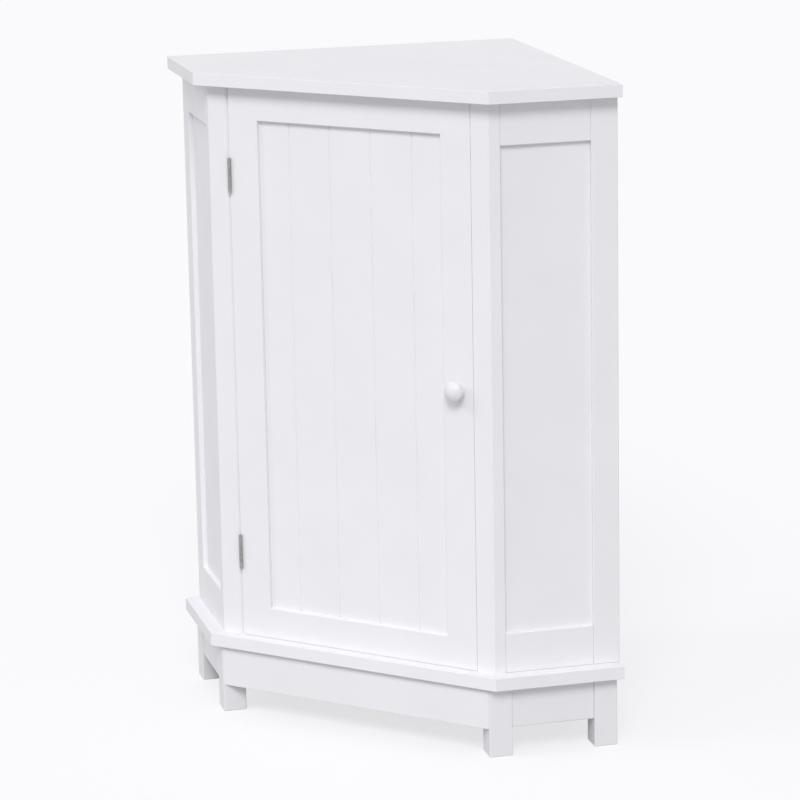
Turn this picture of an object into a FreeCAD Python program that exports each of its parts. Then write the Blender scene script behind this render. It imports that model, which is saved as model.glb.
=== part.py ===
import FreeCAD, Part
import math
import os

# Corner bathroom cabinet on five legs, with one framed door. Millimetres, +Z up, door facing -Y.
# Two walls meet behind it. In plan, u runs from their corner along the left wall and v along the
# right wall. The short sides stand square to the walls, and the door closes the cut-off front.

Vector = FreeCAD.Vector

# Whole cabinet
HEIGHT = 800.0
WALL_LENGTH = 444.5  # top panel's edge along each wall
RETURN_LENGTH = 160.0  # top panel's short edge, square to each wall
TOP_THICKNESS = 15.2
BASE_THICKNESS = 16.0
SIDE_OVERHANG = 18.0  # top and base beyond the side frames
FRONT_OVERHANG = 16.0  # top and base beyond the face of the door
PANEL_ROUND = 0.5  # edges of the top, base and front apron
BOARD_ROUND = 1.2  # edges of the legs and the other boards
POST_ROUND = 1.5  # outer corner of a front post
HINGE_POST_ROUND = 8.0  # corner of the hinge post beside the door
LATCH_POST_ROUND = 0.4

# Legs and aprons
LEG_HEIGHT = 86.0
LEG_WIDTH = 28.5
LEG_SIDE_INSET = 13.0  # behind the base's short edges
LEG_FRONT_INSET = 6.0  # behind the base's front edge
LEG_WALL_INSET = 5.0  # away from the walls
APRON_HEIGHT = 50.8
APRON_THICKNESS = 15.0
APRON_INSET = 1.5  # side and back aprons behind the faces of the legs
FRONT_APRON_INSET = 0.6  # behind the outer corners of the front legs

# Side frames
FRAME_THICKNESS = 15.0
HINGE_POST_WIDTH = 28.2
LATCH_POST_WIDTH = 23.95
POST_SIDE_WIDTH = 14.0  # a post's face beside the side rails
REAR_STILE_WIDTH = 32.5
SIDE_TOP_RAIL_HEIGHT = 51.0
SIDE_BOTTOM_RAIL_HEIGHT = 49.0
SIDE_RECESS = 5.6
SIDE_PANEL_THICKNESS = 5.0
SIDE_GROOVE_DEPTH = 6.0
PANEL_END_GAP = 0.5  # panels and tenons short of the bottom of their grooves

# Back
BACK_THICKNESS = 5.0
BACK_LAP = 8.0  # back panels over the rear stiles and the corner post
CORNER_POST_WIDTH = 28.0

# Shelves and their supports
SHELF_THICKNESS = 12.0
SHELF_CLEARANCE = 2.0
SHELF_SETBACK = 3.5  # behind the posts and the closed door
LOWER_SHELF_HEIGHT = 225.0  # support holes above the base panel
UPPER_SHELF_HEIGHT = 450.0
SUPPORT_PITCH = 32.0
SUPPORT_RADIUS = 2.5
SUPPORT_DEPTH = 8.0
PADDLE_LENGTH = 9.0
PADDLE_WIDTH = 10.0
PADDLE_THICKNESS = 2.0
SUPPORT_FROM_EDGE = 11.0  # support holes from the front edge of the board that holds them

# Door
DOOR_THICKNESS = 18.0
DOOR_STILE_WIDTH = 40.0
DOOR_TOP_RAIL_HEIGHT = 38.5
DOOR_BOTTOM_RAIL_HEIGHT = 38.25
HINGE_GAP = 0.8
LATCH_GAP = 0.35
LATCH_BEVEL = 0.9  # slope of the door's free edge over its thickness, which lets it swing past the post
DOOR_TOP_GAP = 2.0
DOOR_BOTTOM_GAP = 0.35
DOOR_ROUND = 0.4  # outer rim of the door's frame
FIELD_ROUND = 1.0  # inner rim
DOOR_RECESS = 5.5
DOOR_PANEL_THICKNESS = 6.0
DOOR_GROOVE_DEPTH = 8.0
TENON_SHOULDER = 9.0  # tenons short of the rails' outer edges
BEAD_COUNT = 4
BEAD_PITCH = 56.0
BEAD_WIDTH = 2.4
BEAD_DEPTH = 1.4

# Knob
KNOB_RADIUS = 11.8
KNOB_PROJECTION = 19.5
KNOB_RISE = 1.6  # above the middle of the door
KNOB_BASE_RADIUS = 7.0
KNOB_BASE_HEIGHT = 1.5
KNOB_NECK_RADIUS = 5.2
KNOB_NECK_HEIGHT = 3.2
KNOB_CUP_RADIUS = 7.4  # where the neck opens into the head
KNOB_CUP_HEIGHT = 5.2
KNOB_SIDE_HEIGHT = 7.6  # where the head's side begins
KNOB_RIM_HEIGHT = 14.2  # where the dome begins
KNOB_ROUND = 2.4

# Hinges
HINGE_LENGTH = 42.0
HINGE_INSET = 106.0  # middle of a hinge from the end of the door
HINGE_OFFSET = 0.75  # hinge axis inward from the edge of the door
KNUCKLE_COUNT = 5
KNUCKLE_RADIUS = 2.1
KNUCKLE_GAP = 0.2
HINGE_PIN_RADIUS = 1.0
HINGE_PIN_CLEARANCE = 0.05
HINGE_PIN_TIP = 0.6
LEAF_THICKNESS = 1.0
LEAF_WIDTH = 13.0
LEAF_HOLE_SPACING = 26.0

# Magnetic catch
CATCH_LENGTH = 42.0
CATCH_DEPTH = 14.0
CATCH_HEIGHT = 13.0
CATCH_FROM_EDGE = 72.0  # middle of the catch from the free edge of the door
CATCH_GAP = 0.3
CATCH_ROUND = 0.8
MAGNET_LENGTH = 20.0
MAGNET_DEPTH = 8.0
MAGNET_HEIGHT = 6.0
STRIKE_LENGTH = 38.0
STRIKE_HEIGHT = 7.0
STRIKE_THICKNESS = 1.0

# Dowels, cams and screws
DOWEL_RADIUS = 3.0
DOWEL_LENGTH = 20.0
DOWEL_END_GAP = 0.5
POST_DOWEL_INSET = 8.0
CAM_RADIUS = 7.5
CAM_WEB = 3.0  # wood left in front of a cam
CAM_SETBACK = 24.0  # centre of a cam from the edge of its rail
CAM_BOLT_RADIUS = 2.2
CAM_BOLT_HEAD_RADIUS = 3.2
CAM_BOLT_HEAD_LENGTH = 4.0
CAM_THREAD_RADIUS = 2.75
CAM_THREAD_LENGTH = 10.0
CAM_BOLT_HOLE_RADIUS = 3.6
FIXING_CLEARANCE = 0.05
LEG_SCREW_RADIUS = 2.25
LEG_SCREW_HEAD_RADIUS = 4.25
LEG_SCREW_LENGTH = 45.0
LEG_SCREW_INSET = 8.0  # from a rear leg's wall side
APRON_SCREW_RADIUS = 2.0
APRON_SCREW_HEAD_RADIUS = 3.75
APRON_SCREW_LENGTH = 40.0
APRON_SCREW_BITE = 11.0  # length held in the base panel
APRON_SCREW_INSET = 25.0
BACK_SCREW_RADIUS = 1.5
BACK_SCREW_HEAD_RADIUS = 2.9
BACK_SCREW_LENGTH = 14.0
BACK_SCREW_ROWS = 4
BACK_SCREW_INSET = 60.0
HINGE_SCREW_RADIUS = 1.5
HINGE_SCREW_HEAD_RADIUS = 2.6
HINGE_SCREW_LENGTH = 14.0
KNOB_SCREW_RADIUS = 2.0
KNOB_SCREW_HEAD_RADIUS = 4.0
KNOB_SCREW_BITE = 9.0  # length held in the knob
CATCH_SCREW_RADIUS = 1.5
CATCH_SCREW_HEAD_RADIUS = 2.8
CATCH_SCREW_BITE = 9.0
CATCH_SCREW_SPACING = 31.0
STRIKE_SCREW_RADIUS = 1.4
STRIKE_SCREW_HEAD_RADIUS = 2.3
STRIKE_SCREW_LENGTH = 10.0
STRIKE_SCREW_SPACING = 28.0
PAN_HEAD_HEIGHT = 2.4
CROSS_WIDTH = 0.8  # cross recess in the screw heads and cams
CROSS_LENGTH = 3.2
CROSS_DEPTH = 0.8

# Places that follow from the sizes
ROOT2 = math.sqrt(2.0)
BASE_TOP = LEG_HEIGHT + BASE_THICKNESS
TOP_UNDERSIDE = HEIGHT - TOP_THICKNESS
SIDE_FACE = WALL_LENGTH - SIDE_OVERHANG
SIDE_INNER_FACE = SIDE_FACE - FRAME_THICKNESS
SIDE_MIDDLE = SIDE_FACE - FRAME_THICKNESS / 2
CAM_DEPTH = FRAME_THICKNESS - CAM_WEB
FRONT_SUM = WALL_LENGTH + RETURN_LENGTH - ROOT2 * FRONT_OVERHANG  # u + v on the face of the door
FRONT_CORNER = FRONT_SUM - SIDE_FACE
RAIL_FRONT = FRONT_CORNER - POST_SIDE_WIDTH
SIDE_OPENING_LOW = BASE_TOP + SIDE_BOTTOM_RAIL_HEIGHT
SIDE_OPENING_HIGH = TOP_UNDERSIDE - SIDE_TOP_RAIL_HEIGHT
POST_DEPTH = (FRAME_THICKNESS + POST_SIDE_WIDTH) / ROOT2
CABINET_DEPTH = max((WALL_LENGTH + RETURN_LENGTH) / ROOT2, FRONT_SUM / ROOT2 + KNOB_PROJECTION)
BACK_Y = CABINET_DEPTH / 2
FRONT_Y = BACK_Y - FRONT_SUM / ROOT2

LEG_OUT = WALL_LENGTH - LEG_SIDE_INSET
LEG_IN = LEG_OUT - LEG_WIDTH
LEG_FRONT = WALL_LENGTH + RETURN_LENGTH - ROOT2 * LEG_FRONT_INSET - LEG_OUT
LEG_FRONT_BACK = LEG_FRONT - LEG_WIDTH
LEG_WALL_FRONT = LEG_WALL_INSET + LEG_WIDTH
APRON_BOTTOM = LEG_HEIGHT - APRON_HEIGHT
FRONT_APRON_END = LEG_OUT - ROOT2 * FRONT_APRON_INSET

FRONT_HALF = (SIDE_FACE - FRONT_CORNER) / ROOT2
OPENING_LEFT = HINGE_POST_WIDTH - FRONT_HALF
OPENING_RIGHT = FRONT_HALF - LATCH_POST_WIDTH
DOOR_LEFT = OPENING_LEFT + HINGE_GAP
DOOR_RIGHT = OPENING_RIGHT - LATCH_GAP
DOOR_BOTTOM = BASE_TOP + DOOR_BOTTOM_GAP
DOOR_TOP = TOP_UNDERSIDE - DOOR_TOP_GAP
FIELD_LEFT = DOOR_LEFT + DOOR_STILE_WIDTH
FIELD_RIGHT = DOOR_RIGHT - DOOR_STILE_WIDTH
FIELD_BOTTOM = DOOR_BOTTOM + DOOR_BOTTOM_RAIL_HEIGHT
FIELD_TOP = DOOR_TOP - DOOR_TOP_RAIL_HEIGHT
PANEL_BACK = DOOR_RECESS + DOOR_PANEL_THICKNESS
KNOB_X = DOOR_RIGHT - DOOR_STILE_WIDTH / 2
KNOB_Z = (DOOR_BOTTOM + DOOR_TOP) / 2 + KNOB_RISE

HINGE_X = DOOR_LEFT + HINGE_OFFSET
HINGE_OUT = KNUCKLE_RADIUS + KNUCKLE_GAP  # hinge axis in front of the door
FRAME_LEAF_LEFT = OPENING_LEFT - LEAF_THICKNESS
HINGE_HEIGHTS = {"upper": DOOR_TOP - HINGE_INSET, "lower": DOOR_BOTTOM + HINGE_INSET}

CATCH_X = DOOR_RIGHT - CATCH_FROM_EDGE
CATCH_Z = TOP_UNDERSIDE - CATCH_HEIGHT / 2
CATCH_FRONT = DOOR_THICKNESS + STRIKE_THICKNESS + CATCH_GAP
SHELF_HEIGHTS = {"upper": BASE_TOP + UPPER_SHELF_HEIGHT, "lower": BASE_TOP + LOWER_SHELF_HEIGHT}
SHELF_FRONT = max(POST_DEPTH, DOOR_THICKNESS + PAN_HEAD_HEIGHT) + SHELF_SETBACK

ORIGIN = Vector(0, 0, 0)
RIGHTWARD = Vector(1, 0, 0)
BACKWARD = Vector(0, 1, 0)
UPWARD = Vector(0, 0, 1)
ALONG_LEFT_WALL = Vector(-1 / ROOT2, -1 / ROOT2, 0)
ALONG_RIGHT_WALL = Vector(1 / ROOT2, -1 / ROOT2, 0)
NEAR = 0.01  # how close an edge lies to a plane that it is looked for on


def at(u, v, z):
    """Point u along the left wall and v along the right wall from the back corner."""
    return Vector((v - u) / ROOT2, BACK_Y - (u + v) / ROOT2, z)


def before(x, depth, z):
    """Point at x and z, a depth behind the face of the door."""
    return Vector(x, FRONT_Y + depth, z)


def upright(corners, height):
    """Upright solid on a plan outline of points."""
    return Part.Face(Part.makePolygon(corners + corners[:1])).extrude(UPWARD * height)


def prism(outline, low, high):
    """Upright solid on a plan outline of (u, v) corners."""
    return upright([at(u, v, low) for u, v in outline], high - low)


def block(u_low, u_high, v_low, v_high, low, high):
    """Upright block square to the walls."""
    return prism([(u_low, v_low), (u_high, v_low), (u_high, v_high), (u_low, v_high)], low, high)


def front_box(left, right, front, back, low, high):
    """Box square to the door, from one depth behind its face to another."""
    return Part.makeBox(right - left, back - front, high - low, before(left, front, low))


def rounded(solid, radius, chosen=None):
    """Round all edges of a solid, or those whose middle is chosen."""
    edges = [edge for edge in solid.Edges if chosen is None or chosen(edge.CenterOfMass)]
    return solid.makeFillet(radius, edges)


def upright_at(point):
    """Test for an upright edge that stands over a point."""
    return lambda middle: math.hypot(middle.x - point.x, middle.y - point.y) < NEAR


def mirrored(shape):
    return shape.mirror(ORIGIN, RIGHTWARD)


def both_sides(name, solid):
    """A piece of the left side and its mirror image on the right."""
    return {name + "_left": solid, name + "_right": mirrored(solid)}


def placed(solid, point, way):
    """A piece that was made at the origin along +Z, put at a point along a way."""
    solid.Placement = FreeCAD.Placement(point, FreeCAD.Rotation(UPWARD, way))
    return solid


def both_places(places):
    """Places (point, way) on the left side, followed by their mirror images."""
    flip = FreeCAD.Matrix(-1, 0, 0, 0, 0, 1, 0, 0, 0, 0, 1, 0, 0, 0, 0, 1)
    return places + [(flip * point, flip * way) for point, way in places]


# Panels, posts and rails of the case


def corner_panel(low, high):
    """Top or base: a square with its front cut off. Its edge in the corner of the walls is sharp."""
    outline = [
        (0, 0),
        (WALL_LENGTH, 0),
        (WALL_LENGTH, RETURN_LENGTH),
        (RETURN_LENGTH, WALL_LENGTH),
        (0, WALL_LENGTH),
    ]
    in_corner = upright_at(at(0, 0, 0))
    return rounded(prism(outline, low, high), PANEL_ROUND, lambda middle: not in_corner(middle))


def front_post(width, door_round):
    """Left front post: its front lies in the door's plane, its side in the side frame's face."""
    across = width / ROOT2
    inward = POST_DEPTH / ROOT2
    outline = [
        (SIDE_FACE, FRONT_CORNER),
        (SIDE_FACE - across, FRONT_CORNER + across),
        (SIDE_FACE - across - inward, FRONT_CORNER + across - inward),
        (SIDE_INNER_FACE, RAIL_FRONT),
        (SIDE_FACE, RAIL_FRONT),
    ]
    post = prism(outline, BASE_TOP, TOP_UNDERSIDE)
    post = rounded(post, POST_ROUND, upright_at(at(SIDE_FACE, FRONT_CORNER, 0)))
    post = rounded(post, BOARD_ROUND, upright_at(at(SIDE_FACE, RAIL_FRONT, 0)))
    post = rounded(post, door_round, upright_at(before(width - FRONT_HALF, 0, 0)))
    return post.cut(side_panel(0))


def side_panel(end_gap):
    """Left recessed panel; with no end gap, the groove that holds it."""
    reach = SIDE_GROOVE_DEPTH - end_gap
    face = SIDE_FACE - SIDE_RECESS
    low = SIDE_OPENING_LOW - reach
    high = SIDE_OPENING_HIGH + reach
    return block(face - SIDE_PANEL_THICKNESS, face, REAR_STILE_WIDTH - reach, RAIL_FRONT + reach, low, high)


def side_rail(low, high):
    rail = block(SIDE_INNER_FACE, SIDE_FACE, REAR_STILE_WIDTH, RAIL_FRONT, low, high)
    return rounded(rail, BOARD_ROUND).cut(side_panel(0))


def rear_stile():
    stile = block(SIDE_INNER_FACE, SIDE_FACE, 0, REAR_STILE_WIDTH, BASE_TOP, TOP_UNDERSIDE)
    return rounded(stile, BOARD_ROUND).cut([side_panel(0), back_panel(0)])


def back_panel(end_gap):
    """Left back panel; with no end gap, the rebates that hold it."""
    start = CORNER_POST_WIDTH - BACK_LAP + end_gap
    end = SIDE_INNER_FACE + BACK_LAP - end_gap
    return block(start, end, 0, BACK_THICKNESS, BASE_TOP, TOP_UNDERSIDE)


def corner_post():
    post = block(0, CORNER_POST_WIDTH, 0, CORNER_POST_WIDTH, BASE_TOP, TOP_UNDERSIDE)
    return rounded(post, BOARD_ROUND).cut([back_panel(0), mirrored(back_panel(0))])


def case_boards():
    boards = {
        "top_panel": corner_panel(TOP_UNDERSIDE, HEIGHT),
        "base_panel": corner_panel(LEG_HEIGHT, BASE_TOP),
        "front_post_left": front_post(HINGE_POST_WIDTH, HINGE_POST_ROUND).cut(leaf_plates(FRAME_LEAF_LEFT)),
        "front_post_right": mirrored(front_post(LATCH_POST_WIDTH, LATCH_POST_ROUND)),
        "back_corner_post": corner_post(),
    }
    boards.update(both_sides("rear_stile", rear_stile()))
    boards.update(both_sides("side_top_rail", side_rail(SIDE_OPENING_HIGH, TOP_UNDERSIDE)))
    boards.update(both_sides("side_bottom_rail", side_rail(BASE_TOP, SIDE_OPENING_LOW)))
    boards.update(both_sides("side_panel", side_panel(PANEL_END_GAP)))
    boards.update(both_sides("back_panel", back_panel(PANEL_END_GAP)))
    return boards


# Legs and aprons


def leg(u, v):
    return rounded(block(u, u + LEG_WIDTH, v, v + LEG_WIDTH, 0, LEG_HEIGHT), BOARD_ROUND)


def legs():
    pieces = {"leg_back_corner": leg(LEG_WALL_INSET, LEG_WALL_INSET)}
    pieces.update(both_sides("leg_rear", leg(LEG_IN, LEG_WALL_INSET)))
    pieces.update(both_sides("leg_front", leg(LEG_IN, LEG_FRONT_BACK)))
    return pieces


def aprons():
    """Boards between the legs; the front one has bevelled ends that lie against the front legs."""
    back_end = FRONT_APRON_END - APRON_THICKNESS * ROOT2
    front = [
        (FRONT_APRON_END, LEG_FRONT),
        (LEG_FRONT, FRONT_APRON_END),
        (LEG_FRONT, back_end),
        (back_end, LEG_FRONT),
    ]
    side_face = LEG_OUT - APRON_INSET
    side = (side_face - APRON_THICKNESS, side_face, LEG_WALL_FRONT, LEG_FRONT_BACK)
    back_face = LEG_WALL_INSET + APRON_INSET
    back = (LEG_WALL_FRONT, LEG_IN, back_face, back_face + APRON_THICKNESS)
    pieces = {"front_apron": rounded(prism(front, APRON_BOTTOM, LEG_HEIGHT), PANEL_ROUND)}
    pieces.update(both_sides("side_apron", rounded(block(*side, APRON_BOTTOM, LEG_HEIGHT), BOARD_ROUND)))
    pieces.update(both_sides("back_apron", rounded(block(*back, APRON_BOTTOM, LEG_HEIGHT), BOARD_ROUND)))
    return pieces


# Shelves and their supports


def shelf(name):
    """Loose shelf with a notch for the corner post, resting on its supports."""
    wall = BACK_THICKNESS + SHELF_CLEARANCE
    notch = CORNER_POST_WIDTH + SHELF_CLEARANCE
    side = SIDE_INNER_FACE - SHELF_CLEARANCE
    front = FRONT_SUM - ROOT2 * SHELF_FRONT - side
    outline = [
        (notch, wall),
        (side, wall),
        (side, front),
        (front, side),
        (wall, side),
        (wall, notch),
        (notch, notch),
    ]
    low = SHELF_HEIGHTS[name] + SUPPORT_RADIUS
    return rounded(prism(outline, low, low + SHELF_THICKNESS), BOARD_ROUND)


def support_places(height):
    """Where supports plug into the left post, rear stile and corner post."""
    from_corner = CORNER_POST_WIDTH - SUPPORT_FROM_EDGE
    left = [
        (before(OPENING_LEFT - SUPPORT_FROM_EDGE, POST_DEPTH, height), BACKWARD),
        (at(SIDE_INNER_FACE, REAR_STILE_WIDTH - SUPPORT_FROM_EDGE, height), -ALONG_LEFT_WALL),
        (at(CORNER_POST_WIDTH, from_corner, height), ALONG_LEFT_WALL),
    ]
    places = both_places(left)
    places[len(left)] = (before(OPENING_RIGHT + SUPPORT_FROM_EDGE, POST_DEPTH, height), BACKWARD)
    return places


def shelf_support(place):
    """Pin in its hole, with a flat paddle that carries the shelf."""
    point, way = place
    side = way.cross(UPWARD) * (PADDLE_WIDTH / 2)
    out = way * PADDLE_LENGTH
    top = point + UPWARD * SUPPORT_RADIUS
    corners = [top - side, top + side, top + side + out, top - side + out]
    paddle = upright(corners, -PADDLE_THICKNESS)
    pin_length = SUPPORT_DEPTH + PADDLE_LENGTH / 2
    pin = Part.makeCylinder(SUPPORT_RADIUS, pin_length, point - way * SUPPORT_DEPTH, way)
    return pin.fuse(paddle).removeSplitter()


def shelf_supports(name):
    return Part.makeCompound([shelf_support(place) for place in support_places(SHELF_HEIGHTS[name])])


def support_holes():
    """A row of holes for each support: the one in use, one above and one below."""
    radius = SUPPORT_RADIUS + FIXING_CLEARANCE
    holes = []
    for height in SHELF_HEIGHTS.values():
        for step in (-1, 0, 1):
            for point, way in support_places(height + step * SUPPORT_PITCH):
                depth = SUPPORT_DEPTH + DOWEL_END_GAP
                holes.append(Part.makeCylinder(radius, depth, point - way * depth, way))
    return holes


# Door


def door_field(reach, front, back):
    """Box behind the door's frame, reaching into the frame on all sides."""
    return front_box(
        FIELD_LEFT - reach, FIELD_RIGHT + reach, front, back, FIELD_BOTTOM - reach, FIELD_TOP + reach
    )


def door_groove():
    return door_field(DOOR_GROOVE_DEPTH, DOOR_RECESS, PANEL_BACK)


def door_frame():
    """The frame's four boards in one, bevelled at the free edge, rounded along both rims and grooved."""
    outline = [
        before(DOOR_LEFT, 0, DOOR_BOTTOM),
        before(DOOR_RIGHT, 0, DOOR_BOTTOM),
        before(DOOR_RIGHT - LATCH_BEVEL, DOOR_THICKNESS, DOOR_BOTTOM),
        before(DOOR_LEFT, DOOR_THICKNESS, DOOR_BOTTOM),
    ]
    whole = upright(outline, DOOR_TOP - DOOR_BOTTOM)
    whole = rounded(whole, DOOR_ROUND, lambda middle: abs(middle.y - FRONT_Y) < NEAR)
    frame = whole.cut(door_field(0, 0, DOOR_THICKNESS))
    inner_rim = door_field(NEAR, -NEAR, NEAR)
    frame = rounded(frame, FIELD_ROUND, lambda middle: inner_rim.isInside(middle, NEAR, True))
    return frame.cut(door_groove())


def tenons(low, high, length):
    """Stub tenons on both ends of a door rail; at full groove depth, their mortises."""
    left = front_box(FIELD_LEFT - length, FIELD_LEFT, DOOR_RECESS, PANEL_BACK, low, high)
    right = front_box(FIELD_RIGHT, FIELD_RIGHT + length, DOOR_RECESS, PANEL_BACK, low, high)
    return [left, right]


def top_tenons(length):
    return tenons(FIELD_TOP + DOOR_GROOVE_DEPTH, DOOR_TOP - TENON_SHOULDER, length)


def bottom_tenons(length):
    return tenons(DOOR_BOTTOM + TENON_SHOULDER, FIELD_BOTTOM - DOOR_GROOVE_DEPTH, length)


def door_stile(left, right):
    board = front_box(left, right, 0, DOOR_THICKNESS, DOOR_BOTTOM, DOOR_TOP)
    mortises = top_tenons(DOOR_GROOVE_DEPTH) + bottom_tenons(DOOR_GROOVE_DEPTH)
    return door_frame().common(board).cut(mortises)


def door_rail(low, high, rail_tenons):
    board = front_box(FIELD_LEFT, FIELD_RIGHT, 0, DOOR_THICKNESS, low, high)
    return door_frame().common(board).fuse(rail_tenons).removeSplitter()


def door_panel():
    """Panel of upright boards, marked by V-grooves in its face."""
    panel = door_field(DOOR_GROOVE_DEPTH - PANEL_END_GAP, DOOR_RECESS, PANEL_BACK)
    first = (FIELD_LEFT + FIELD_RIGHT) / 2 - BEAD_PITCH * (BEAD_COUNT - 1) / 2
    low = FIELD_BOTTOM - DOOR_GROOVE_DEPTH
    grooves = []
    for number in range(BEAD_COUNT):
        x = first + number * BEAD_PITCH
        section = [
            before(x - BEAD_WIDTH / 2, DOOR_RECESS, low),
            before(x + BEAD_WIDTH / 2, DOOR_RECESS, low),
            before(x, DOOR_RECESS + BEAD_DEPTH, low),
        ]
        grooves.append(upright(section, FIELD_TOP + DOOR_GROOVE_DEPTH - low))
    return panel.cut(grooves)


def door_knob():
    """Turned knob: a foot, a waisted neck and a thick domed head."""

    def turned(radius, height):
        return before(KNOB_X + radius, -height, KNOB_Z)

    dome_height = KNOB_PROJECTION - KNOB_RIM_HEIGHT
    dome_radius = (KNOB_RADIUS**2 + dome_height**2) / (2 * dome_height)
    half = math.asin(KNOB_RADIUS / dome_radius) / 2
    dome_middle = turned(dome_radius * math.sin(half), KNOB_PROJECTION - dome_radius * (1 - math.cos(half)))
    centre = turned(0, 0)
    foot = turned(KNOB_BASE_RADIUS, 0)
    shoulder = turned(KNOB_BASE_RADIUS, KNOB_BASE_HEIGHT)
    neck = turned(KNOB_NECK_RADIUS, KNOB_NECK_HEIGHT)
    cup = turned(KNOB_CUP_RADIUS, KNOB_CUP_HEIGHT)
    side = turned(KNOB_RADIUS, KNOB_SIDE_HEIGHT)
    rim = turned(KNOB_RADIUS, KNOB_RIM_HEIGHT)
    crown = turned(0, KNOB_PROJECTION)
    edges = [
        Part.LineSegment(centre, foot),
        Part.LineSegment(foot, shoulder),
        Part.Arc(shoulder, neck, cup),
        Part.LineSegment(cup, side),
        Part.LineSegment(side, rim),
        Part.Arc(rim, dome_middle, crown),
        Part.LineSegment(crown, centre),
    ]
    profile = Part.Face(Part.Wire([edge.toShape() for edge in edges]))
    knob = profile.revolve(centre, BACKWARD, 360)
    heights = (FRONT_Y - KNOB_SIDE_HEIGHT, FRONT_Y - KNOB_RIM_HEIGHT)
    rings = [edge for edge in knob.Edges if any(abs(edge.CenterOfMass.y - y) < NEAR for y in heights)]
    return knob.makeFillet(KNOB_ROUND, rings)


def door_pieces():
    return {
        "door_stile_hinge": door_stile(DOOR_LEFT, FIELD_LEFT).cut(leaf_plates(DOOR_LEFT)),
        "door_stile_latch": door_stile(FIELD_RIGHT, DOOR_RIGHT),
        "door_top_rail": door_rail(FIELD_TOP, DOOR_TOP, top_tenons(DOOR_GROOVE_DEPTH - PANEL_END_GAP)),
        "door_bottom_rail": door_rail(
            DOOR_BOTTOM, FIELD_BOTTOM, bottom_tenons(DOOR_GROOVE_DEPTH - PANEL_END_GAP)
        ),
        "door_panel": door_panel(),
        "door_knob": door_knob(),
    }


# Hinges


def leaf_plate(height, left):
    """Plate of a leaf, let into the edge of a board; also its mortise."""
    low = height - HINGE_LENGTH / 2
    return front_box(left, left + LEAF_THICKNESS, 0, LEAF_WIDTH, low, low + HINGE_LENGTH)


def leaf_plates(left):
    return [leaf_plate(height, left) for height in HINGE_HEIGHTS.values()]


def hinge_leaf(height, left, tip, knuckles):
    """Leaf with its plate at x = left, and a tongue to x = tip for each knuckle that it carries."""
    low = height - HINGE_LENGTH / 2
    pitch = (HINGE_LENGTH + KNUCKLE_GAP) / KNUCKLE_COUNT
    length = pitch - KNUCKLE_GAP
    leaf = leaf_plate(height, left)
    for number in knuckles:
        start = low + number * pitch
        section = [
            before(left, 0, start),
            before(left + LEAF_THICKNESS, 0, start),
            before(tip + LEAF_THICKNESS, -HINGE_OUT, start),
            before(tip, -HINGE_OUT, start),
        ]
        barrel = Part.makeCylinder(KNUCKLE_RADIUS, length, before(HINGE_X, -HINGE_OUT, start))
        leaf = leaf.fuse([upright(section, length), barrel])
    bore_radius = HINGE_PIN_RADIUS + HINGE_PIN_CLEARANCE
    bore = Part.makeCylinder(bore_radius, HINGE_LENGTH, before(HINGE_X, -HINGE_OUT, low))
    return leaf.cut(bore).removeSplitter()


def hinge_pin(height):
    length = HINGE_LENGTH + 2 * HINGE_PIN_TIP
    pin = Part.makeCylinder(HINGE_PIN_RADIUS, length, before(HINGE_X, -HINGE_OUT, height - length / 2))
    return rounded(pin, HINGE_PIN_TIP, lambda middle: abs(abs(middle.z - height) - length / 2) < NEAR)


def hinges():
    """Hinges whose knuckles stand before the door's edge; the frame's leaves reach across the gap."""
    frame_tip = HINGE_X - LEAF_THICKNESS / 2
    frame_knuckles = range(0, KNUCKLE_COUNT, 2)
    door_knuckles = range(1, KNUCKLE_COUNT, 2)
    pieces = {}
    for name, height in HINGE_HEIGHTS.items():
        pieces["hinge_frame_leaf_" + name] = hinge_leaf(height, FRAME_LEAF_LEFT, frame_tip, frame_knuckles)
        pieces["hinge_door_leaf_" + name] = hinge_leaf(height, DOOR_LEFT, DOOR_LEFT, door_knuckles)
        pieces["hinge_pin_" + name] = hinge_pin(height)
    return pieces


def hinge_screw_places(x, way):
    half = LEAF_HOLE_SPACING / 2
    heights = [height + offset for height in HINGE_HEIGHTS.values() for offset in (-half, half)]
    return [(before(x, LEAF_WIDTH / 2, height), way) for height in heights]


# Magnetic catch


def catch_box(length, front, depth, height):
    """Box centred on the catch's height and width."""
    left = CATCH_X - length / 2
    low = CATCH_Z - height / 2
    return front_box(left, left + length, front, front + depth, low, low + height)


def catch_pieces():
    magnet = catch_box(MAGNET_LENGTH, CATCH_FRONT, MAGNET_DEPTH, MAGNET_HEIGHT)
    case = rounded(catch_box(CATCH_LENGTH, CATCH_FRONT, CATCH_DEPTH, CATCH_HEIGHT), CATCH_ROUND)
    return {
        "catch_case": case.cut(magnet),
        "catch_magnet": magnet,
        "strike_plate": catch_box(STRIKE_LENGTH, DOOR_THICKNESS, STRIKE_THICKNESS, STRIKE_HEIGHT),
    }


# Fasteners: each is made at the origin along +Z, and grown by a clearance it is its own hole


def cross_recess(depth_at):
    """Cross recess sunk from the height where a head's face lies."""
    low = Vector(-CROSS_LENGTH / 2, -CROSS_WIDTH / 2, depth_at)
    bar = Part.makeBox(CROSS_LENGTH, CROSS_WIDTH, CROSS_DEPTH, low)
    crossing = bar.copy()
    crossing.rotate(ORIGIN, UPWARD, 90)
    return bar.fuse(crossing)


def countersunk_screw(radius, head_radius, length, grow):
    """Screw with a flat head whose face lies at the origin."""
    head = Part.makeCone(head_radius + grow, radius + grow, head_radius - radius)
    screw = head.fuse(Part.makeCylinder(radius + grow, length + grow)).removeSplitter()
    return screw if grow else screw.cut(cross_recess(0))


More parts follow.
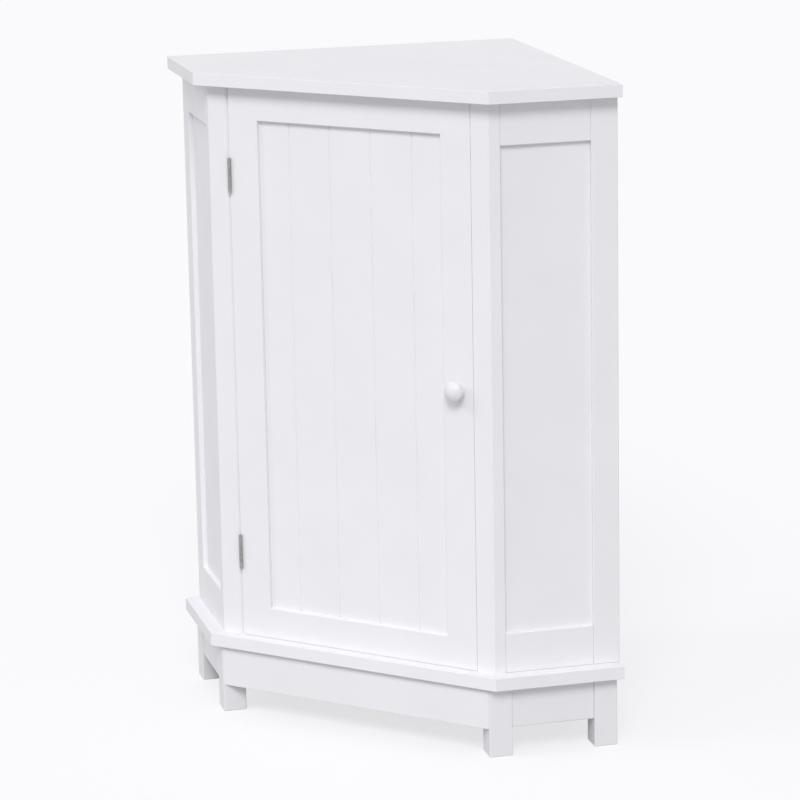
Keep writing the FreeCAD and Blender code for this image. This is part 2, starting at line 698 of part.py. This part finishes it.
def pan_screw(radius, head_radius, head_height, length, grow):
    """Screw whose head stands behind the origin."""
    head = Part.makeCylinder(head_radius + grow, head_height, UPWARD * -head_height)
    screw = head.fuse(Part.makeCylinder(radius + grow, length + grow)).removeSplitter()
    return screw if grow else screw.cut(cross_recess(-head_height))


def leg_screw(grow):
    return countersunk_screw(LEG_SCREW_RADIUS, LEG_SCREW_HEAD_RADIUS, LEG_SCREW_LENGTH, grow)


def apron_screw(grow):
    """Screw up through an apron; its hole includes the counterbore below the head."""
    counterbore = APRON_HEIGHT + APRON_SCREW_BITE - APRON_SCREW_LENGTH
    head_height = counterbore if grow else PAN_HEAD_HEIGHT
    return pan_screw(APRON_SCREW_RADIUS, APRON_SCREW_HEAD_RADIUS, head_height, APRON_SCREW_LENGTH, grow)


def back_screw(grow):
    return countersunk_screw(BACK_SCREW_RADIUS, BACK_SCREW_HEAD_RADIUS, BACK_SCREW_LENGTH, grow)


def hinge_screw(grow):
    return countersunk_screw(HINGE_SCREW_RADIUS, HINGE_SCREW_HEAD_RADIUS, HINGE_SCREW_LENGTH, grow)


def knob_screw(grow):
    length = DOOR_THICKNESS + KNOB_SCREW_BITE
    return pan_screw(KNOB_SCREW_RADIUS, KNOB_SCREW_HEAD_RADIUS, PAN_HEAD_HEIGHT, length, grow)


def catch_screw(grow):
    length = CATCH_HEIGHT + CATCH_SCREW_BITE
    return pan_screw(CATCH_SCREW_RADIUS, CATCH_SCREW_HEAD_RADIUS, PAN_HEAD_HEIGHT, length, grow)


def strike_screw(grow):
    return countersunk_screw(STRIKE_SCREW_RADIUS, STRIKE_SCREW_HEAD_RADIUS, STRIKE_SCREW_LENGTH, grow)


def dowel(grow):
    half = DOWEL_LENGTH / 2 + (DOWEL_END_GAP if grow else 0)
    return Part.makeCylinder(DOWEL_RADIUS + grow, 2 * half, UPWARD * -half)


def cam_bolt(grow):
    """Bolt with its thread behind the origin and its head in the cam."""
    thread = Part.makeCylinder(CAM_THREAD_RADIUS + grow, CAM_THREAD_LENGTH + grow)
    thread.translate(UPWARD * -(CAM_THREAD_LENGTH + grow))
    if grow:
        return thread.fuse(Part.makeCylinder(CAM_BOLT_HOLE_RADIUS, CAM_SETBACK))
    neck = Part.makeCylinder(CAM_BOLT_RADIUS, CAM_SETBACK)
    head = Part.makeCylinder(CAM_BOLT_HEAD_RADIUS, CAM_BOLT_HEAD_LENGTH)
    head.translate(UPWARD * (CAM_SETBACK - CAM_BOLT_HEAD_LENGTH))
    return thread.fuse([neck, head]).removeSplitter()


def cam_lock(grow):
    """Disc set into the inner face of a rail, slotted from its edge for the head of the bolt."""
    disc = Part.makeCylinder(CAM_RADIUS + grow, CAM_DEPTH + grow)
    if grow:
        return disc
    bolt_depth = FRAME_THICKNESS / 2
    slot = Part.makeCylinder(CAM_BOLT_HOLE_RADIUS, 2 * CAM_RADIUS, Vector(0, 0, bolt_depth), RIGHTWARD)
    hollow = Part.makeSphere(CAM_BOLT_HOLE_RADIUS, Vector(0, 0, bolt_depth))
    return disc.cut([slot, hollow, cross_recess(0)])


def leg_screw_places():
    middle = (LEG_OUT + LEG_IN) / 2
    near_wall = LEG_WALL_INSET + LEG_SCREW_INSET
    left = [
        (at(middle, near_wall, BASE_TOP), -UPWARD),
        (at(middle, (LEG_FRONT + LEG_FRONT_BACK) / 2, BASE_TOP), -UPWARD),
    ]
    return both_places(left) + [(at(near_wall, near_wall, BASE_TOP), -UPWARD)]


def apron_screw_places():
    height = LEG_HEIGHT + APRON_SCREW_BITE - APRON_SCREW_LENGTH
    side = LEG_OUT - APRON_INSET - APRON_THICKNESS / 2
    back = LEG_WALL_INSET + APRON_INSET + APRON_THICKNESS / 2
    front_depth = LEG_FRONT_INSET + FRONT_APRON_INSET - FRONT_OVERHANG + APRON_THICKNESS / 2
    front_x = (FRONT_APRON_END - LEG_FRONT) / ROOT2 - APRON_THICKNESS - APRON_SCREW_INSET
    points = [
        before(-front_x, front_depth, height),
        at(side, LEG_WALL_FRONT + APRON_SCREW_INSET, height),
        at(side, LEG_FRONT_BACK - APRON_SCREW_INSET, height),
        at(LEG_WALL_FRONT + APRON_SCREW_INSET, back, height),
        at(LEG_IN - APRON_SCREW_INSET, back, height),
    ]
    return both_places([(point, UPWARD) for point in points])


def back_screw_places():
    first = BASE_TOP + BACK_SCREW_INSET
    step = (TOP_UNDERSIDE - BACK_SCREW_INSET - first) / (BACK_SCREW_ROWS - 1)
    laps = (CORNER_POST_WIDTH - BACK_LAP / 2, SIDE_INNER_FACE + BACK_LAP / 2)
    points = [at(u, 0, first + row * step) for u in laps for row in range(BACK_SCREW_ROWS)]
    return both_places([(point, ALONG_RIGHT_WALL) for point in points])


def catch_screw_places():
    half = CATCH_SCREW_SPACING / 2
    depth = CATCH_FRONT + CATCH_DEPTH / 2
    return [(before(CATCH_X + x, depth, TOP_UNDERSIDE - CATCH_HEIGHT), UPWARD) for x in (-half, half)]


def strike_screw_places():
    half = STRIKE_SCREW_SPACING / 2
    depth = DOOR_THICKNESS + STRIKE_THICKNESS
    return [(before(CATCH_X + x, depth, CATCH_Z), -BACKWARD) for x in (-half, half)]


def dowel_places():
    """Two dowels in each end of a side rail, and one in each end of the upright posts."""
    rails = ((BASE_TOP, SIDE_BOTTOM_RAIL_HEIGHT), (SIDE_OPENING_HIGH, SIDE_TOP_RAIL_HEIGHT))
    heights = [low + share * height for low, height in rails for share in (1 / 3, 2 / 3)]
    ends = (REAR_STILE_WIDTH, RAIL_FRONT)
    left = [(at(SIDE_MIDDLE, v, height), ALONG_RIGHT_WALL) for v in ends for height in heights]
    stile_v = REAR_STILE_WIDTH - FRAME_THICKNESS / 2
    post_middle = CORNER_POST_WIDTH - POST_DOWEL_INSET
    uprights = []
    for height in (BASE_TOP, TOP_UNDERSIDE):
        left.append((at(SIDE_MIDDLE, stile_v, height), UPWARD))
        uprights.append((before(OPENING_LEFT - POST_DOWEL_INSET, POST_DEPTH / 2, height), UPWARD))
        uprights.append((before(OPENING_RIGHT + POST_DOWEL_INSET, POST_DEPTH / 2, height), UPWARD))
        uprights.append((at(post_middle, post_middle, height), UPWARD))
    return both_places(left) + uprights


def cam_bolt_places():
    """Bolts in the base and the top, one at the middle of each side rail."""
    middle = (REAR_STILE_WIDTH + RAIL_FRONT) / 2
    return both_places(
        [(at(SIDE_MIDDLE, middle, BASE_TOP), UPWARD), (at(SIDE_MIDDLE, middle, TOP_UNDERSIDE), -UPWARD)]
    )


def fixings(make, places):
    """Fasteners at their places, and the holes that they need."""
    pieces = [placed(make(0), point, way) for point, way in places]
    holes = [placed(make(FIXING_CLEARANCE), point, way) for point, way in places]
    return pieces, holes


def cam_locks():
    """Discs turned so that their slots face the bolts."""
    middle = (REAR_STILE_WIDTH + RAIL_FRONT) / 2
    pieces = []
    holes = []
    for height, turn in ((BASE_TOP + CAM_SETBACK, -90), (TOP_UNDERSIDE - CAM_SETBACK, 90)):
        seat = at(SIDE_INNER_FACE, middle, height)
        inward = FreeCAD.Rotation(ALONG_RIGHT_WALL, UPWARD, ALONG_LEFT_WALL, "ZXY")
        spin = FreeCAD.Rotation(UPWARD, turn)
        for grow, made in ((0, pieces), (FIXING_CLEARANCE, holes)):
            disc = cam_lock(grow)
            disc.Placement = FreeCAD.Placement(seat, inward.multiply(spin))
            made.extend([disc, mirrored(disc)])
    return pieces, holes


def fasteners():
    """All fastener groups by name, and all the holes."""
    sets = {
        "leg_screws": fixings(leg_screw, leg_screw_places()),
        "apron_screws": fixings(apron_screw, apron_screw_places()),
        "back_panel_screws": fixings(back_screw, back_screw_places()),
        "dowels": fixings(dowel, dowel_places()),
        "cam_bolts": fixings(cam_bolt, cam_bolt_places()),
        "cam_locks": cam_locks(),
        "hinge_frame_screws": fixings(hinge_screw, hinge_screw_places(OPENING_LEFT, -RIGHTWARD)),
        "hinge_door_screws": fixings(hinge_screw, hinge_screw_places(DOOR_LEFT, RIGHTWARD)),
        "knob_screw": fixings(knob_screw, [(before(KNOB_X, DOOR_THICKNESS, KNOB_Z), -BACKWARD)]),
        "catch_screws": fixings(catch_screw, catch_screw_places()),
        "strike_screws": fixings(strike_screw, strike_screw_places()),
    }
    groups = {name: Part.makeCompound(pieces) for name, (pieces, _) in sets.items()}
    holes = [hole for _, holes in sets.values() for hole in holes]
    return groups, holes


# Assembly


def bored(solid, holes):
    """A piece with every hole that reaches it."""
    near = [hole for hole in holes if solid.BoundBox.intersect(hole.BoundBox)]
    return solid.cut(near) if near else solid


def cabinet():
    """All pieces of the cabinet by name."""
    groups, holes = fasteners()
    holes = holes + support_holes()
    boards = case_boards() | legs() | aprons() | door_pieces() | hinges() | catch_pieces()
    pieces = {name: bored(solid, holes) for name, solid in boards.items()}
    for name in SHELF_HEIGHTS:
        pieces["shelf_" + name] = shelf(name)
        pieces["shelf_supports_" + name] = shelf_supports(name)
    return pieces | groups


def main():
    os.makedirs("parts", exist_ok=True)
    for name, shape in cabinet().items():
        solids = shape.Solids
        node = solids[0] if len(solids) == 1 else Part.makeCompound(solids)
        node.exportStep("parts/" + name + ".step")
        print(name, len(solids), "solids,", "valid" if node.isValid() else "NOT VALID", round(node.Volume))


main()
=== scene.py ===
import math

import bpy
from mathutils import Euler, Matrix, Vector

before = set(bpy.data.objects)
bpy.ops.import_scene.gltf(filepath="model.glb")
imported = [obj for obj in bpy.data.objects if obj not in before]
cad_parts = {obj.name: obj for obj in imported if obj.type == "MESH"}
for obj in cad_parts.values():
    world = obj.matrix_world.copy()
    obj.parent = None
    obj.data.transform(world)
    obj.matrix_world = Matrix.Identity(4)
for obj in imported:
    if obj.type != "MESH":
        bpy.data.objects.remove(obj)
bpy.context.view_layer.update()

# Looks of the corner cabinet: satin white paint over boards and frames, grey hinges, zinc fasteners.
# Metres, +Z up, door facing -Y.

# Camera
CAMERA_PLACE = Vector((2.0405, -3.5428, 1.3479))
CAMERA_YAW = 30.516  # degrees to the left of straight at the door
CAMERA_PITCH = -13.384
CAMERA_ROLL = -1.082
FOCAL_PIXELS = 3378.2
IMAGE_WIDTH = 800
SENSOR_WIDTH = 36.0

# Light: soft lamps, each with its degrees to the right of the door, its elevation and its strength
LAMPS = ((-48.0, 36.0, 0.47), (-10.0, 44.0, 0.16), (26.0, 42.0, 1.60))
LAMP_SPREAD = 24.0
SKY = (0.500, 0.500, 0.500, 1.0)
BACKGROUND = (0.956, 0.956, 0.972, 1.0)
FLOOR_GLOW = (0.706, 0.706, 0.717, 1.0)  # the seen floor's own light, which keeps the shadow on it pale
FLOOR_SHADED = (0.260, 0.260, 0.265, 1.0)  # the seen floor's colour under the lamps, which takes the shadow
FLOOR_BOUNCE = (0.58, 0.58, 0.58, 1.0)  # the floor's colour for the light that it throws back
NO_LIGHT = (0.0, 0.0, 0.0, 1.0)
FLOOR_HALF = 40.0

# Grain under the paint: turn of the texture about Z in degrees, and its stretch along the board
GRAIN_STRETCH = 40.0
GRAIN_UPRIGHT = (0.0, (1.0, 1.0, GRAIN_STRETCH))
GRAIN_ACROSS = (0.0, (GRAIN_STRETCH, 1.0, 1.0))
GRAIN_LEFT = (-45.0, (GRAIN_STRETCH, 1.0, 1.0))
GRAIN_RIGHT = (45.0, (GRAIN_STRETCH, 1.0, 1.0))
GRAIN_NONE = (0.0, (1.0, 1.0, 1.0))

# Noise textures: scale and detail
PAINT_MOTTLE = (14.0, 4.0)
PAINT_SHEEN = (45.0, 3.0)
PAINT_PEEL = (620.0, 2.0)
PAINT_FIBRE = (420.0, 3.0)
KNOB_MOTTLE = (60.0, 3.0)
KNOB_SHEEN = (180.0, 3.0)
KNOB_PEEL = (500.0, 2.0)
BACK_CLOUDS = (25.0, 6.0)
BACK_FIBRE = (900.0, 6.0)
BACK_PITS = (1100.0, 4.0)
PLATE_CLOUDS = (170.0, 5.0)
PLATE_STREAKS = (2600.0, 3.0)
BEECH_FIBRE = (700.0, 6.0)
MOULD_CLOUDS = (220.0, 4.0)
MOULD_PITS = (2200.0, 3.0)
NOISE_LOW, NOISE_HIGH = 0.3, 0.7  # the middle range, in which most of a noise lies

# Relief of the textures
PAINT_RELIEF = 0.000012
KNOB_RELIEF = 0.000008
BACK_PIT_RELIEF = 0.000020
BACK_FIBRE_RELIEF = 0.000010
STREAK_RELIEF = 0.000006
BEECH_RELIEF = 0.000030
MOULD_RELIEF = 0.000012

# Lowest and highest roughness
SATIN = (0.40, 0.50)
DULL = (0.54, 0.64)
KNOB_SATIN = (0.42, 0.50)
BACK_MATT = (0.55, 0.75)
NICKEL_ROUGH = (0.26, 0.42)
ZINC_ROUGH = (0.22, 0.40)
BEECH_ROUGH = (0.50, 0.68)
PLASTIC_ROUGH = (0.38, 0.52)
FERRITE_ROUGH = (0.50, 0.70)
PAINT_SHINE = 0.32

# Colours
PAINT_LIGHT = (0.842, 0.842, 0.874, 1.0)
PAINT_DARK = (0.822, 0.823, 0.856, 1.0)
# Legs and aprons: the white paint made about 3% darker, painted shade for the darker lower part of the
# cabinet
STAND_SHADED_LIGHT = (0.815, 0.815, 0.846, 1.0)
STAND_SHADED_DARK = (0.796, 0.797, 0.829, 1.0)
# The knob: the white paint made about 6% darker, painted shade that keeps its lit dome from glaring
KNOB_SHADED_LIGHT = (0.792, 0.792, 0.818, 1.0)
KNOB_SHADED_DARK = (0.772, 0.772, 0.800, 1.0)
BACK_LIGHT = (0.80, 0.80, 0.81, 1.0)
BACK_DARK = (0.765, 0.765, 0.775, 1.0)
STEEL_LIGHT = (0.46, 0.45, 0.44, 1.0)
STEEL_DARK = (0.29, 0.285, 0.28, 1.0)
ZINC_LIGHT = (0.78, 0.79, 0.82, 1.0)
ZINC_DARK = (0.58, 0.59, 0.61, 1.0)
BEECH_LIGHT = (0.60, 0.40, 0.22, 1.0)
BEECH_DARK = (0.46, 0.28, 0.14, 1.0)
PLASTIC_LIGHT = (0.80, 0.80, 0.79, 1.0)
PLASTIC_DARK = (0.76, 0.76, 0.75, 1.0)
FERRITE_LIGHT = (0.075, 0.072, 0.070, 1.0)
FERRITE_DARK = (0.035, 0.034, 0.034, 1.0)


def add(tree, kind, inputs, **settings):
    """New shader node; each input is a value or another node's output."""
    made = tree.nodes.new("ShaderNode" + kind)
    for name, value in settings.items():
        setattr(made, name, value)
    for name, value in inputs.items():
        if isinstance(value, bpy.types.NodeSocket):
            tree.links.new(value, made.inputs[name])
        else:
            made.inputs[name].default_value = value
    return made


def new_material(name):
    """Empty node material and its node tree."""
    material = bpy.data.materials.new(name)
    material.use_nodes = True
    material.node_tree.nodes.clear()
    return material, material.node_tree


def noise(tree, place, texture):
    """A noise of a given scale and detail."""
    scale, detail = texture
    return add(tree, "TexNoise", {"Vector": place, "Scale": scale, "Detail": detail}).outputs["Fac"]


def between(tree, factor, limits):
    """A value that runs between two limits with the middle range of a noise."""
    low, high = limits
    inputs = {"Value": factor, "From Min": NOISE_LOW, "From Max": NOISE_HIGH, "To Min": low, "To Max": high}
    return add(tree, "MapRange", inputs).outputs["Result"]


def tint(tree, factor, dark, light, low=NOISE_LOW, high=NOISE_HIGH):
    """A colour that runs from dark to light with a factor."""
    ramp = add(tree, "ValToRGB", {"Fac": factor})
    first, last = ramp.color_ramp.elements
    first.position, first.color = low, dark
    last.position, last.color = high, light
    return ramp.outputs["Color"]


def switch(tree, factor, off, on):
    """One colour where the factor is 0 and another where it is 1."""
    return tint(tree, factor, off, on, 0.0, 1.0)


def bump(tree, height, distance, under=None):
    """Relief of a given height in metres, on top of another relief."""
    inputs = {"Height": height, "Distance": distance, "Strength": 1.0}
    if under is not None:
        inputs["Normal"] = under
    return add(tree, "Bump", inputs).outputs["Normal"]


def surface(tree, inputs):
    """The material's one shader, joined to its output."""
    shader = add(tree, "BsdfPrincipled", inputs)
    add(tree, "OutputMaterial", {"Surface": shader.outputs["BSDF"]})


def places(tree, grain):
    """The object's own coordinates, plain and stretched along the grain."""
    plain = add(tree, "TexCoord", {}).outputs["Object"]
    turn, stretch = grain
    inputs = {"Vector": plain, "Rotation": (0.0, 0.0, math.radians(turn)), "Scale": stretch}
    along = add(tree, "Mapping", inputs, vector_type="TEXTURE").outputs["Vector"]
    return plain, along


def paint(name, grain, dark=PAINT_DARK, light=PAINT_LIGHT, rough=SATIN):
    """Sprayed satin paint: faint mottling, orange peel, and a hint of the grain under it."""
    material, tree = new_material(name)
    plain, along = places(tree, grain)
    mottle = noise(tree, plain, PAINT_MOTTLE)
    peel = noise(tree, plain, PAINT_PEEL)
    fibre = noise(tree, along, PAINT_FIBRE)
    relief = bump(tree, fibre, PAINT_RELIEF)
    relief = bump(tree, peel, PAINT_RELIEF, relief)
    surface(
        tree,
        {
            "Base Color": tint(tree, mottle, dark, light),
            "Roughness": between(tree, noise(tree, plain, PAINT_SHEEN), rough),
            "Specular IOR Level": PAINT_SHINE,
            "Normal": relief,
        },
    )
    return material


def knob_paint():
    """Paint with a finer peel on the turned knob. Its colour is darker than the board paint: painted shade
    that tones down the brightly lit dome.
    """
    material, tree = new_material("knob_shaded_gloss_paint")
    plain, _ = places(tree, GRAIN_NONE)
    surface(
        tree,
        {
            "Base Color": tint(tree, noise(tree, plain, KNOB_MOTTLE), KNOB_SHADED_DARK, KNOB_SHADED_LIGHT),
            "Roughness": between(tree, noise(tree, plain, KNOB_SHEEN), KNOB_SATIN),
            "Normal": bump(tree, noise(tree, plain, KNOB_PEEL), KNOB_RELIEF),
        },
    )
    return material


def back_board():
    """White-faced hardboard: fine fibres and a slightly uneven, dull coat."""
    material, tree = new_material("coated_hardboard")
    plain, along = places(tree, GRAIN_UPRIGHT)
    fibres = noise(tree, along, BACK_FIBRE)
    relief = bump(tree, noise(tree, plain, BACK_PITS), BACK_PIT_RELIEF)
    surface(
        tree,
        {
            "Base Color": tint(tree, noise(tree, plain, BACK_CLOUDS), BACK_DARK, BACK_LIGHT),
            "Roughness": between(tree, fibres, BACK_MATT),
            "Normal": bump(tree, fibres, BACK_FIBRE_RELIEF, relief),
        },
    )
    return material


def metal(name, dark, light, grain, rough):
    """Plated metal with brushed streaks and cloudy patches."""
    material, tree = new_material(name)
    plain, along = places(tree, grain)
    streaks = noise(tree, along, PLATE_STREAKS)
    clouds = noise(tree, plain, PLATE_CLOUDS)
    surface(
        tree,
        {
            "Base Color": tint(tree, clouds, dark, light),
            "Metallic": 1.0,
            "Roughness": between(tree, streaks, rough),
            "Normal": bump(tree, streaks, STREAK_RELIEF),
        },
    )
    return material


def beech():
    """Pale hardwood with long fibres."""
    material, tree = new_material("beech_wood")
    _, along = places(tree, GRAIN_UPRIGHT)
    fibres = noise(tree, along, BEECH_FIBRE)
    surface(
        tree,
        {
            "Base Color": tint(tree, fibres, BEECH_DARK, BEECH_LIGHT),
            "Roughness": between(tree, fibres, BEECH_ROUGH),
            "Normal": bump(tree, fibres, BEECH_RELIEF),
        },
    )
    return material


def moulded(name, dark, light, rough):
    """Moulded plastic or pressed ferrite with fine pits."""
    material, tree = new_material(name)
    plain, _ = places(tree, GRAIN_NONE)
    pits = noise(tree, plain, MOULD_PITS)
    surface(
        tree,
        {
            "Base Color": tint(tree, noise(tree, plain, MOULD_CLOUDS), dark, light),
            "Roughness": between(tree, pits, rough),
            "Normal": bump(tree, pits, MOULD_RELIEF),
        },
    )
    return material


def seen_by_lens(tree):
    """1 for rays that show the stage itself, in the lens, a reflection or glass; 0 for its light."""
    path = add(tree, "LightPath", {}).outputs
    shine = add(tree, "Math", {0: path["Is Glossy Ray"], 1: path["Is Transmission Ray"]}, operation="MAXIMUM")
    either = {0: path["Is Camera Ray"], 1: shine.outputs["Value"]}
    return add(tree, "Math", either, operation="MAXIMUM").outputs["Value"]


def floor_material():
    """Pale matt floor, with a tone of its own where it is seen."""
    material, tree = new_material("floor_matt")
    seen = seen_by_lens(tree)
    surface(
        tree,
        {
            "Base Color": switch(tree, seen, FLOOR_BOUNCE, FLOOR_SHADED),
            "Emission Color": switch(tree, seen, NO_LIGHT, FLOOR_GLOW),
            "Emission Strength": 1.0,
            "Roughness": 1.0,
            "Specular IOR Level": 0.0,
        },
    )
    return material


def dress_nodes():
    """Every CAD node gets the material of its slot, with the grain of its board."""
    board = paint("board_paint", GRAIN_NONE, rough=DULL)
    upright = paint("upright_paint", GRAIN_UPRIGHT)
    across = paint("across_paint", GRAIN_ACROSS)
    left = paint("left_rail_paint", GRAIN_LEFT)
    right = paint("right_rail_paint", GRAIN_RIGHT)
    # Legs and aprons take the darker stand colours: painted shade on the lower part of the cabinet, not a
    # different paint
    leg = paint("leg_shaded_paint", GRAIN_UPRIGHT, STAND_SHADED_DARK, STAND_SHADED_LIGHT)
    front_apron = paint("front_apron_shaded_paint", GRAIN_ACROSS, STAND_SHADED_DARK, STAND_SHADED_LIGHT)
    left_apron = paint("left_apron_shaded_paint", GRAIN_LEFT, STAND_SHADED_DARK, STAND_SHADED_LIGHT)
    right_apron = paint("right_apron_shaded_paint", GRAIN_RIGHT, STAND_SHADED_DARK, STAND_SHADED_LIGHT)
    slots = {
        "knob_paint": knob_paint(),
        "back_board": back_board(),
        "hinge_steel": metal("hinge_nickel", STEEL_DARK, STEEL_LIGHT, GRAIN_UPRIGHT, NICKEL_ROUGH),
        "zinc_hardware": metal("bright_zinc", ZINC_DARK, ZINC_LIGHT, GRAIN_NONE, ZINC_ROUGH),
        "dowel_wood": beech(),
        "catch_plastic": moulded("catch_white_plastic", PLASTIC_DARK, PLASTIC_LIGHT, PLASTIC_ROUGH),
        "magnet": moulded("magnet_ferrite", FERRITE_DARK, FERRITE_LIGHT, FERRITE_ROUGH),
    }
    grains = {
        "top_panel": board,
        "base_panel": board,
        "shelf_upper": board,
        "shelf_lower": board,
        "door_top_rail": across,
        "door_bottom_rail": across,
        "front_apron": front_apron,
        "side_top_rail_left": left,
        "side_bottom_rail_left": left,
        "side_apron_left": left_apron,
        "back_apron_right": left_apron,
        "side_top_rail_right": right,
        "side_bottom_rail_right": right,
        "side_apron_right": right_apron,
        "back_apron_left": right_apron,
        "leg_back_corner": leg,
        "leg_rear_left": leg,
        "leg_rear_right": leg,
        "leg_front_left": leg,
        "leg_front_right": leg,
    }
    for name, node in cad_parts.items():
        slot = node.data.materials[0].name
        node.data.materials[0] = slots.get(slot) or grains.get(name, upright)


def add_floor():
    """A wide floor under the legs."""
    mesh = bpy.data.meshes.new("floor")
    corners = [(-1, -1), (1, -1), (1, 1), (-1, 1)]
    mesh.from_pydata([(x * FLOOR_HALF, y * FLOOR_HALF, 0.0) for x, y in corners], [], [(0, 1, 2, 3)])
    floor = bpy.data.objects.new("floor", mesh)
    floor.data.materials.append(floor_material())
    bpy.context.scene.collection.objects.link(floor)


def add_lamp(azimuth, elevation, strength):
    """One soft lamp far away, shining at the cabinet."""
    light = bpy.data.lights.new("lamp", "SUN")
    light.energy = strength
    light.angle = math.radians(LAMP_SPREAD)
    lamp = bpy.data.objects.new("lamp", light)
    lamp.rotation_euler = Euler((math.radians(90 - elevation), 0.0, math.radians(azimuth)))
    bpy.context.scene.collection.objects.link(lamp)


def add_lights():
    """The lamps, and an even sky that shows as the background."""
    for azimuth, elevation, strength in LAMPS:
        add_lamp(azimuth, elevation, strength)
    world = bpy.data.worlds.new("studio")
    world.use_nodes = True
    tree = world.node_tree
    tree.nodes.clear()
    colour = switch(tree, seen_by_lens(tree), SKY, BACKGROUND)
    sky = add(tree, "Background", {"Color": colour})
    add(tree, "OutputWorld", {"Surface": sky.outputs["Background"]})
    bpy.context.scene.world = world


def add_camera():
    """The camera at the photo's view."""
    lens = bpy.data.cameras.new("camera")
    lens.sensor_fit = "HORIZONTAL"
    lens.sensor_width = SENSOR_WIDTH
    lens.lens = FOCAL_PIXELS / IMAGE_WIDTH * SENSOR_WIDTH
    camera = bpy.data.objects.new("camera", lens)
    aim = Euler((math.radians(90 + CAMERA_PITCH), 0.0, math.radians(CAMERA_YAW)))
    tilt = Matrix.Rotation(math.radians(CAMERA_ROLL), 4, "Z")
    camera.matrix_world = Matrix.Translation(CAMERA_PLACE) @ aim.to_matrix().to_4x4() @ tilt
    bpy.context.scene.collection.objects.link(camera)
    bpy.context.scene.camera = camera


dress_nodes()
add_floor()
add_lights()
add_camera()
bpy.context.scene.view_settings.view_transform = "Standard"
